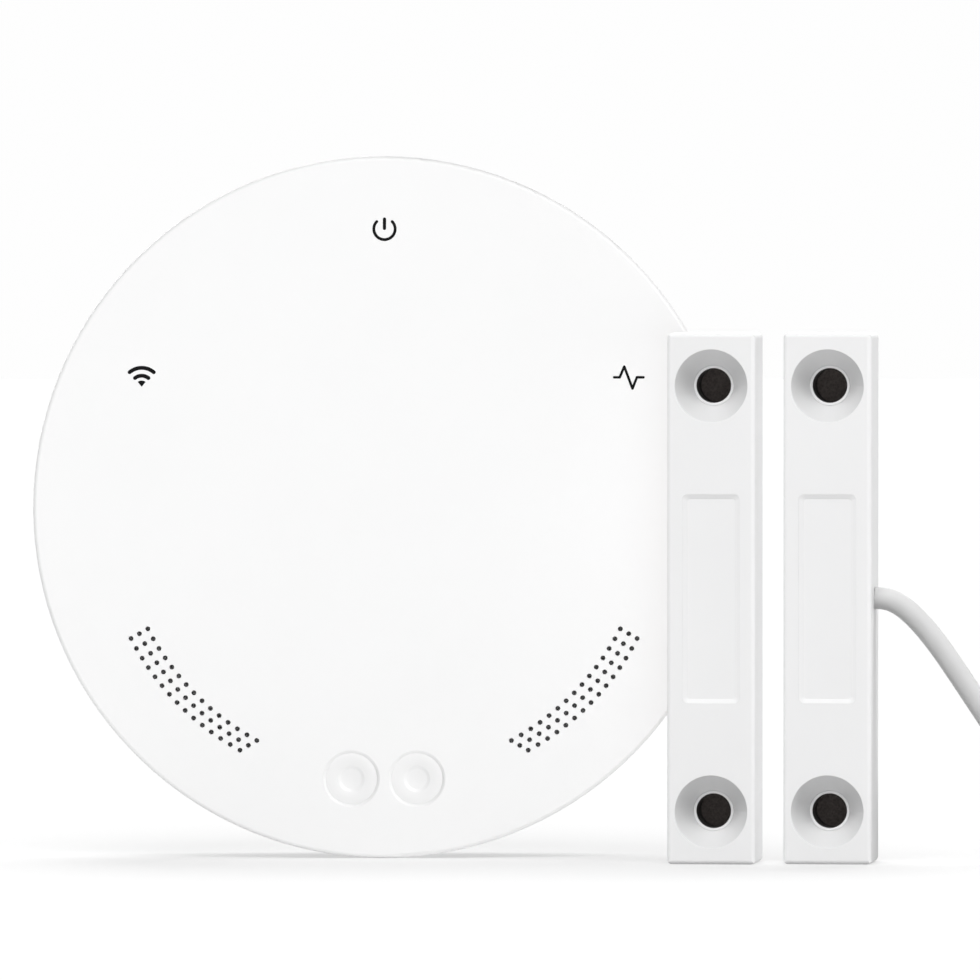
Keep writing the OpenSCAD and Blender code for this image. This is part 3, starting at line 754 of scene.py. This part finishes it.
# signs on the face: flat strokes of ink that follow the crown, in millimetres from the hub's middle
signSpec = {
    "power": {
        "middle": (0.08, 47.58), "radius": 1.82, "stroke": 0.49, "open": 46,
        "bar": (1.69, 0.09), "barStroke": 0.55,
    },
    "waves": {
        "middle": (-41.4, 20.65), "arcs": [(3.21, 40), (1.86, 38)], "stroke": 0.66,
        "wedge": 1.04, "half": 40,
    },
    "pulse": {
        "stroke": 0.43,
        "corners": [
            (39.32, 22.24), (40.27, 22.24), (41.04, 24.08), (42.45, 20.32), (43.2, 22.24), (44.32, 22.24),
        ],
    },
    "thick": 0.05, "steps": 40, "roundSteps": 6, "sharp": 20,
}


def acrossPair(point, way, reach):
    side = Vector((-way.y, way.x)) * reach
    return [(p.x, 0, p.y) for p in (point + side, point - side)]


def roundEnd(point, way, half, steps):
    # from the tip to the full width of the stroke
    rows = []
    for k in range(steps + 1):
        bend = math.pi / 2 * (1 - k / steps)
        rows.append(acrossPair(point - way * half * math.sin(bend), way, half * math.cos(bend)))
    return rows


def roundCorner(corner, into, out, half, spec):
    turn = math.atan2(into.x * out.y - into.y * out.x, into.dot(out))
    mitre = acrossPair(corner, (into + out).normalized(), half / math.cos(turn / 2))
    if abs(turn) < math.radians(spec["sharp"]):
        return [mitre]
    rows = []
    for k in range(spec["roundSteps"] + 1):
        way = Matrix.Rotation(turn * k / spec["roundSteps"], 2) @ into
        left, right = acrossPair(corner, way, half)
        rows.append([mitre[0], right] if turn > 0 else [left, mitre[1]])
    return rows


def drawStroke(sign, path, stroke, spec):
    # a pen stroke with round ends and round corners
    points = [Vector(point) for point in path]
    ways = [(b - a).normalized() for a, b in zip(points, points[1:])]
    rows = roundEnd(points[0], ways[0], stroke / 2, spec["roundSteps"])
    for corner, into, out in zip(points[1:-1], ways, ways[1:]):
        rows += roundCorner(corner, into, out, stroke / 2, spec)
    ending = roundEnd(points[-1], -ways[-1], stroke / 2, spec["roundSteps"])
    sweepStrip(sign, rows + [pair[::-1] for pair in reversed(ending)])


def arcPath(middle, radius, start, sweep, steps):
    ways = [math.radians(start + sweep * k / steps) for k in range(steps + 1)]
    return [(middle[0] + radius * math.cos(way), middle[1] + radius * math.sin(way)) for way in ways]


def drawWedge(sign, middle, radius, half, steps):
    # a slice of a disc, standing on its tip
    corner = radius * math.cos(math.radians(half))
    heights = [0, corner]
    for k in range(steps):
        heights.append(corner + (radius - corner) * math.sin(math.pi / 2 * (k + 1) / steps))
    rows = []
    for height in heights:
        reach = math.sqrt(max(radius ** 2 - height ** 2, 0)) if height else 0
        rows.append(acrossPair(Vector((middle[0], middle[1] + height)), Vector((0, 1)), reach))
    sweepStrip(sign, rows)


def printSign(sign, thick):
    # laid on the crown, with the thickness of a coat of ink
    closeSheet(sign, thick)
    for vertex in sign.data.vertices:
        x, z = vertex.co.x / mm, vertex.co.z / mm
        crown = (x * x + z * z) / (2 * hub["crownRadius"])
        vertex.co = Vector((hub["middle"][0] + x, hub["faceY"] + crown, hub["middle"][1] + z)) * mm
    applyAll(sign)
    seat(sign, finishes["signInk"], "hub", "case_white")


def printSigns(spec):
    power = spec["power"]
    sign = startSheet("powerSign")
    gap = power["open"]
    ring = arcPath(power["middle"], power["radius"], 90 + gap, 360 - 2 * gap, spec["steps"])
    drawStroke(sign, ring, power["stroke"], spec)
    x, z = power["middle"]
    drawStroke(sign, [(x, z + end) for end in power["bar"]], power["barStroke"], spec)
    printSign(sign, spec["thick"])
    waves = spec["waves"]
    sign = startSheet("wavesSign")
    for radius, half in waves["arcs"]:
        arc = arcPath(waves["middle"], radius, 90 + half, -2 * half, spec["steps"])
        drawStroke(sign, arc, waves["stroke"], spec)
    drawWedge(sign, waves["middle"], waves["wedge"], waves["half"], spec["roundSteps"])
    printSign(sign, spec["thick"])
    sign = startSheet("pulseSign")
    drawStroke(sign, spec["pulse"]["corners"], spec["pulse"]["stroke"], spec)
    printSign(sign, spec["thick"])
    print("signs printed")


printSigns(signSpec)


# straps: hook-and-loop tape round the coiled cord, one end lapped over the other
strapSpec = {
    "inner": 9.9, "outer": 35.3, "top": 18.3, "thick": 0.68, "width": 5.0,
    "round": 2.0, "lap": (27.6, 18.0), "under": 1.5, "lift": 0.76, "steps": 6, "lapSteps": 5,
    "low": 0.02, "edge": 0.12, "edgeSteps": 2, "edgeFrom": 60, "smooth": 35,
}


def strapPath(spec):
    half = spec["thick"] / 2
    low, high = half + spec["low"], spec["top"] - half
    left, right = spec["inner"] + half, spec["outer"] - half
    reach = spec["round"]
    path = [(spec["lap"][0] - spec["under"], high)]
    corners = [(left, high, 90), (left, low, 180), (right, low, 270), (right, high, 0)]
    for x, z, start in corners:
        middleX = x + reach if x == left else x - reach
        middleZ = z - reach if z == high else z + reach
        for k in range(spec["steps"] + 1):
            way = math.radians(start + 90 * k / spec["steps"])
            path.append((middleX + reach * math.cos(way), middleZ + reach * math.sin(way)))
    start, stop = spec["lap"]
    bend = right - reach
    for k in range(spec["lapSteps"]):
        along = (k + 1) / spec["lapSteps"]
        path.append((bend - (bend - start) * along, high + spec["lift"] * ease(along)))
    path.append((stop, high + spec["lift"]))
    return path


def wrapStraps(spec):
    middle = Vector((*cordSpec["coilMiddle"], 0))
    sheet = startSheet("cordStraps")
    for flip in (1, -1):
        rows = []
        for x, z in strapPath(spec):
            ends = [middle + Vector((flip * x, side * spec["width"] / 2, z)) for side in (-1, 1)]
            rows.append([turnWithSwitch(end) for end in ends])
        sweepStrip(sheet, rows)
    closeSheet(sheet, spec["thick"])
    edge = sheet.modifiers.new("edge", "BEVEL")
    edge.width = spec["edge"] * mm
    edge.segments = spec["edgeSteps"]
    edge.limit_method = "ANGLE"
    edge.angle_limit = math.radians(spec["edgeFrom"])
    applyAll(sheet)
    smoothBelow(spec["smooth"])
    seat(sheet, finishes["tieGrey"], "hub", "tie_grey", "cord_ties")
    print("straps wrapped")


wrapStraps(strapSpec)
runCord(cordSpec)


# case screws: pan heads with a cross recess, sunk in the back
screwSpec = {
    "ring": 44.0, "angles": (58, 122, -12, 192), "turns": (12, 67, 35, 88), "deep": 1.8,
    "headRadius": 2.8, "headHeight": 2.2, "shankRadius": 1.45, "shankLength": 14.0,
    "headRound": 0.75, "roundSteps": 5, "crossReach": 1.65, "crossWidth": 0.85, "crossDeep": 1.25,
    "crossTaper": 0.5, "threads": 12, "threadDeep": 0.2, "sides": 48, "near": 0.01, "smooth": 32,
}


def pickRing(cage, low, high):
    # faces whose middle lies between two heights
    for face in cage.faces:
        face.select_set(low * mm < face.calc_center_median().z < high * mm)


def turnScrew(spec):
    # upright on its own axis: the head's outer face at nought, the shank below
    deselectAll()
    bpy.ops.mesh.primitive_cylinder_add(
        vertices=spec["sides"], radius=spec["headRadius"] * mm, depth=spec["headHeight"] * mm,
        location=(0, 0, -spec["headHeight"] / 2 * mm),
    )
    screw = bpy.context.object
    settle(screw)
    bpy.ops.object.mode_set(mode="EDIT")
    bpy.ops.mesh.select_mode(type="FACE")
    cage = bmesh.from_edit_mesh(screw.data)
    pickRing(cage, -spec["near"], spec["near"])
    bmesh.update_edit_mesh(screw.data)
    bpy.ops.mesh.bevel(
        offset=spec["headRound"] * mm, segments=spec["roundSteps"], profile=0.5, affect="EDGES",
    )
    cage = bmesh.from_edit_mesh(screw.data)
    pickRing(cage, -spec["headHeight"] - spec["near"], -spec["headHeight"] + spec["near"])
    bmesh.update_edit_mesh(screw.data)
    rootRadius = spec["shankRadius"] - spec["threadDeep"]
    bpy.ops.mesh.inset(thickness=(spec["headRadius"] - rootRadius) * mm)
    step = spec["shankLength"] / (2 * spec["threads"])
    root = rootRadius / spec["shankRadius"]
    for k in range(2 * spec["threads"]):
        bpy.ops.mesh.extrude_region_move(TRANSFORM_OT_translate={"value": (0, 0, -step * mm)})
        grow = 1 / root if k % 2 == 0 else root
        bpy.ops.transform.resize(value=(grow, grow, 1))
    bpy.ops.object.mode_set(mode="OBJECT")
    return screw


def crossCutter(spec):
    deselectAll()
    arms = []
    for turn in (0, math.pi / 2):
        bpy.ops.mesh.primitive_cube_add(size=1, rotation=(0, 0, turn))
        arm = bpy.context.object
        arm.scale = Vector((2 * spec["crossReach"], spec["crossWidth"], 2 * spec["crossDeep"])) * mm
        settle(arm)
        for vertex in arm.data.vertices:
            if vertex.co.z < 0:
                vertex.co.x *= spec["crossTaper"]
                vertex.co.y *= spec["crossTaper"]
        arms.append(arm)
    both = arms[0].modifiers.new("both", "BOOLEAN")
    both.operation = "UNION"
    both.object = arms[1]
    applyAll(arms[0])
    bpy.data.objects.remove(arms[1])
    return arms[0]


def copyTo(source, name, places):
    # one copy of the mesh at each place, joined to one piece
    copies = []
    for place in places:
        copy = bpy.data.objects.new(name, source.data.copy())
        scene.collection.objects.link(copy)
        copy.data.transform(place)
        copies.append(copy)
    bpy.data.objects.remove(source)
    pickOnly(copies[0])
    for copy in copies[1:]:
        copy.select_set(True)
    bpy.ops.object.join()
    joined = bpy.context.object
    joined.name = name
    joined.data.name = name
    return joined


def driveScrews(spec):
    screw = turnScrew(spec)
    cutter = crossCutter(spec)
    recess = screw.modifiers.new("recess", "BOOLEAN")
    recess.operation = "DIFFERENCE"
    recess.object = cutter
    applyAll(screw)
    bpy.data.objects.remove(cutter)
    places = []
    for angle, turn in zip(spec["angles"], spec["turns"]):
        way = math.radians(angle)
        place = Matrix.Translation(Vector((
            hub["middle"][0] + spec["ring"] * math.cos(way), hub["backY"] - spec["deep"],
            hub["middle"][1] + spec["ring"] * math.sin(way),
        )) * mm)
        stand = Matrix.Rotation(-math.pi / 2, 4, "X") @ Matrix.Rotation(math.radians(turn), 4, "Z")
        places.append(place @ stand)
    screws = copyTo(screw, "caseScrews", places)
    smoothBelow(spec["smooth"])
    seat(screws, finishes["screwSteel"], "hub", "screw_steel", "case_screws")
    print("case screws driven")


driveScrews(screwSpec)


# buttons: caps with a shallow flat dish, a little under the face, and the sloping edge of each well
buttonSpec = {
    "drop": 46.4, "apart": 11.2, "sunk": 0.38, "steps": 72, "leans": -1.0, "smooth": 28,
    "cap": [
        (0, -0.27), (1.7, -0.27), (1.79, -0.25), (2.2, -0.03), (2.3, 0), (4.6, 0), (4.74, -0.03), (4.8, -0.1),
        (4.82, -0.2), (4.82, -5.03), (5.34, -5.03), (5.34, -6.2), (1.6, -6.2), (1.6, -11.7), (0, -11.7),
    ],
    "rim": [(4.895, -0.01), (4.84, -0.02), (4.42, -0.32), (4.4, -0.35), (4.895, -0.35), (4.895, -0.01)],
}


def turnProfile(sheet, profile, steps):
    # a line of points, turned once round its axis
    bpy.ops.mesh.select_all(action="DESELECT")
    cage = bmesh.from_edit_mesh(sheet.data)
    chain = [cage.verts.new((r * mm, 0, h * mm)) for r, h in profile]
    for first, second in zip(chain, chain[1:]):
        cage.edges.new((first, second)).select_set(True)
    cage.select_flush_mode()
    bmesh.update_edit_mesh(sheet.data)
    bpy.ops.mesh.spin(steps=steps, angle=2 * math.pi, use_auto_merge=True, center=(0, 0, 0), axis=(0, 0, 1))
    bpy.ops.mesh.select_all(action="SELECT")
    bpy.ops.mesh.remove_doubles(threshold=mergeGap)
    bpy.ops.mesh.normals_make_consistent(inside=False)
    bpy.ops.object.mode_set(mode="OBJECT")


def setInFace(piece, side, spec, sunk):
    # the upper parts lean with the crown
    lean = spec["drop"] / hub["crownRadius"]
    level = hub["faceY"] + spec["drop"] ** 2 / (2 * hub["crownRadius"]) + sunk
    middleX = hub["middle"][0] + side * spec["apart"] / 2
    middleZ = hub["middle"][1] - spec["drop"]
    for vertex in piece.data.vertices:
        x, up, h = vertex.co / mm
        fall = -lean * up if h > spec["leans"] else 0
        vertex.co = Vector((middleX + x, level - h + fall, middleZ + up)) * mm
    pickOnly(piece)
    bpy.ops.object.mode_set(mode="EDIT")
    bpy.ops.mesh.select_all(action="SELECT")
    bpy.ops.mesh.normals_make_consistent(inside=False)
    bpy.ops.object.mode_set(mode="OBJECT")
    smoothBelow(spec["smooth"])


def setButtons(spec):
    for side, word in ((-1, "left"), (1, "right")):
        cap = startSheet(word + "ButtonCap")
        turnProfile(cap, spec["cap"], spec["steps"])
        setInFace(cap, side, spec, spec["sunk"])
        seat(cap, finishes["buttonWhite"], word + "_button", "case_white", word + "_button")
        rim = startSheet(word + "WellEdge")
        turnProfile(rim, spec["rim"], spec["steps"])
        setInFace(rim, side, spec, 0)
        seat(rim, finishes["hubWhite"], "hub", "case_white")
    print("buttons set")


setButtons(buttonSpec)


# label fields: the sunk fields of the halves slope down from their edges
labelSpec = {
    "width": 9.78, "length": 35.48, "deep": 0.34, "slope": 0.8, "round": 1.0, "innerRound": 0.5,
    "clear": 0.01, "thick": 0.02, "steps": 6, "smooth": 40,
}


def roundedPath(width, length, reach, steps):
    path = []
    for x, z, start in ((1, 1, 0), (-1, 1, 90), (-1, -1, 180), (1, -1, 270)):
        for k in range(steps + 1):
            way = math.radians(start + 90 * k / steps)
            across = x * (width / 2 - reach) + reach * math.cos(way)
            along = z * (length / 2 - reach) + reach * math.sin(way)
            path.append((across, along))
    return path + path[:1]


def slopeLabels(spec):
    inner = (spec["width"] - 2 * spec["slope"], spec["length"] - 2 * spec["slope"])
    high, deep = spec["clear"] - halves["face"], spec["deep"] - spec["clear"] - halves["face"]
    top = roundedPath(spec["width"], spec["length"], spec["round"], spec["steps"])
    low = roundedPath(*inner, spec["innerRound"], spec["steps"])
    for half, body in (("switch", "hub"), ("magnet", "magnet")):
        edge = startSheet(half + "LabelEdge")
        pairs = []
        for (x0, z0), (x1, z1) in zip(top, low):
            pairs.append([halfPlace(half) @ Vector(end) for end in ((x0, high, z0), (x1, deep, z1))])
        sweepStrip(edge, pairs)
        closeSheet(edge, spec["thick"])
        applyAll(edge)
        smoothBelow(spec["smooth"])
        seat(edge, finishes[half + "White"], body, "contact_white")
    print("label fields sloped")


slopeLabels(labelSpec)

# seat rings: the narrow flat ledge at the foot of each screw seat, round its hole
seatSpec = {
    "ledge": [
        (3.4, -4.86), (3.0, -4.86), (2.92, -4.93), (2.9, -5.05), (2.9, -5.7), (2.93, -5.72), (3.4, -4.86),
    ],
    "steps": 64, "smooth": 35,
}


def ringSeats(spec):
    stand = Matrix.Rotation(math.pi / 2, 4, "X")
    for half, body in (("switch", "hub"), ("magnet", "magnet")):
        ring = startSheet(half + "SeatRing")
        turnProfile(ring, spec["ledge"], spec["steps"])
        places = []
        for end in (-1, 1):
            hole = Vector((0, -halves["face"], end * halves["pitch"] / 2))
            places.append(halfPlace(half, mm) @ Matrix.Translation(hole * mm) @ stand)
        rings = copyTo(ring, half + "SeatRings", places)
        smoothBelow(spec["smooth"])
        seat(rings, finishes[half + "White"], body, "contact_white")
    print("screw seats ringed")


ringSeats(seatSpec)

# which lamps light which pieces
switchPieces = (
    "switch_case", "switch_base", "switch_pad", "reed_board", "reed_glass", "reed_leads", "cable_clamp",
    "cable_tail", "sensorCord", "cordStraps", "cord_leads", "cord_tips", "switchLabelEdge", "switchSeatRings",
)
magnetPieces = (
    "magnet_case", "magnet_base", "magnet_pad", "bar_magnet", "magnetLabelEdge", "magnetSeatRings",
)


def groupsOf(name):
    if name in switchPieces:
        groups = ["switch", "contact"]
    elif name in magnetPieces:
        groups = ["magnet", "contact"]
    else:
        groups = ["hub"]
    groups.append("pieces")
    if name.endswith(("_case", "LabelEdge", "SeatRings")):
        groups.append("cases")
    if name in ("front_cover", "rear_shell"):
        groups.append("rim")
    return groups


for piece in scene.objects:
    if piece.type in ("MESH", "CURVE") and piece.name != "paperFloor":
        for group in groupsOf(piece.name):
            lampGroups[group].objects.link(piece)
print("lamps shared out")
